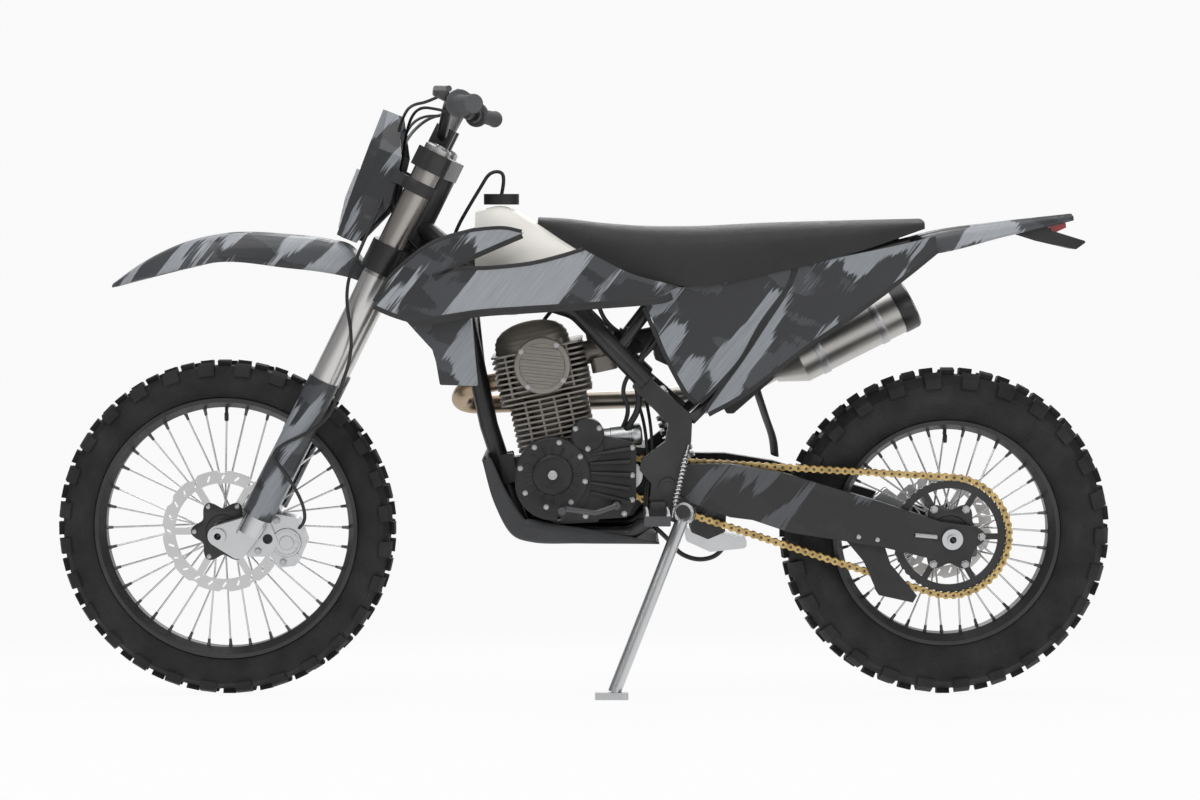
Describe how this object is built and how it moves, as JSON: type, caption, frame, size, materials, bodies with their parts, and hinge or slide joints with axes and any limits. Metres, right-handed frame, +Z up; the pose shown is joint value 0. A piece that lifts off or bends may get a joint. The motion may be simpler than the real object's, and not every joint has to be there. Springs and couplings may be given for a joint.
{
  "type": "enduro motorcycle",
  "caption": "Off-road motorcycle with spoked wheels, knobbly tyres, finned air-cooled engine and chain drive, parked leaning on its side stand.",
  "frame": {"origin": "middle of the bounding box, on the ground", "axes": "+X forward, +Y to the rider's left, +Z up; the motorcycle leans 10 degrees to its left"},
  "size_m": [2.1674, 0.869, 1.2895],
  "materials": {
    "aluminium": "satin machined and cast aluminium",
    "black_metal": "satin black paint",
    "black_plastic": "matt black plastic",
    "camo_plastic": "satin plastic with grey brushed shading",
    "chain_gold": "gold plated links",
    "cylinder_bronze": "bronze grey paint",
    "disc_steel": "ground stainless steel",
    "engine_black": "matt black paint",
    "exhaust_steel": "brushed steel, slightly tanned by heat",
    "fork_titan": "grey brown anodised tube",
    "grey_plastic": "dark grey plastic",
    "grip_rubber": "grey ribbed rubber",
    "lens_clear": "clear moulded lens",
    "lens_red": "red moulded lens",
    "seat_vinyl": "grained black vinyl",
    "spoke_steel": "bright drawn steel",
    "tank_white": "milky translucent plastic",
    "tyre_rubber": "matt knobbly rubber"
  },
  "bodies": {
    "chassis": {"air_box": "black_plastic", "carburettor": "aluminium", "chain_guide": "black_plastic", "crankcase": "engine_black", "cylinder": "cylinder_bronze", "drive_chain": "chain_gold", "drive_sprocket": "disc_steel", "engine_covers": "engine_black", "exhaust_header": "exhaust_steel", "foot_levers": "aluminium", "footpegs": "aluminium", "fuel_cap": "black_plastic", "fuel_tank": "tank_white", "main_frame": "black_metal", "muffler": "exhaust_steel", "plate_bracket": "black_plastic", "radiator_guards": "camo_plastic", "radiators": "black_metal", "rear_axle": "aluminium", "rear_caliper": "aluminium", "rear_fender": "camo_plastic", "seat": "seat_vinyl", "shock_absorber": "aluminium", "side_panels": "camo_plastic", "skid_plate": "grey_plastic", "subframe": "black_metal", "suspension_link": "aluminium", "swingarm": "black_metal", "tail_light": "lens_red", "tank_shrouds": "camo_plastic"},
    "front_wheel": {"front_tyre": "tyre_rubber", "front_rim": "black_metal", "front_spokes": "spoke_steel", "front_hub": "black_metal", "front_disc": "disc_steel"},
    "rear_wheel": {"rear_tyre": "tyre_rubber", "rear_rim": "black_metal", "rear_spokes": "spoke_steel", "rear_hub": "black_metal", "rear_disc": "disc_steel", "rear_sprocket": "black_metal"},
    "steering": {"triple_clamps": "black_metal", "fork_tubes": "fork_titan", "fork_sliders": "aluminium", "fork_guards": "camo_plastic", "front_axle": "aluminium", "front_caliper": "aluminium", "front_fender": "camo_plastic", "headlight_mask": "camo_plastic", "headlight_lens": "lens_clear", "handlebar": "black_metal", "grips": "grip_rubber", "hand_controls": "aluminium"},
    "stand": {"side_stand": "aluminium"}
  },
  "joints": [
    {"name": "steer", "type": "hinge", "parent": "chassis", "child": "steering", "pos_m": [0.29021, -0.02708, 1.05461], "axis": [-0.4493, 0.1551, 0.8798], "range_deg": [-42, 42]},
    {"name": "front_spin", "type": "hinge", "parent": "steering", "child": "front_wheel", "pos_m": [0.73599, -0.15239, 0.34393], "axis": [0, 0.9848, -0.1736], "continuous": true},
    {"name": "rear_spin", "type": "hinge", "parent": "chassis", "child": "rear_wheel", "pos_m": [-0.74401, -0.15378, 0.33605], "axis": [0, 0.9848, -0.1736], "continuous": true},
    {"name": "side_stand_fold", "type": "hinge", "parent": "chassis", "child": "stand", "pos_m": [-0.20201, 0.00106, 0.36764], "axis": [0.1927, 0.972, 0.1344], "range_deg": [0, 108]}
  ]
}
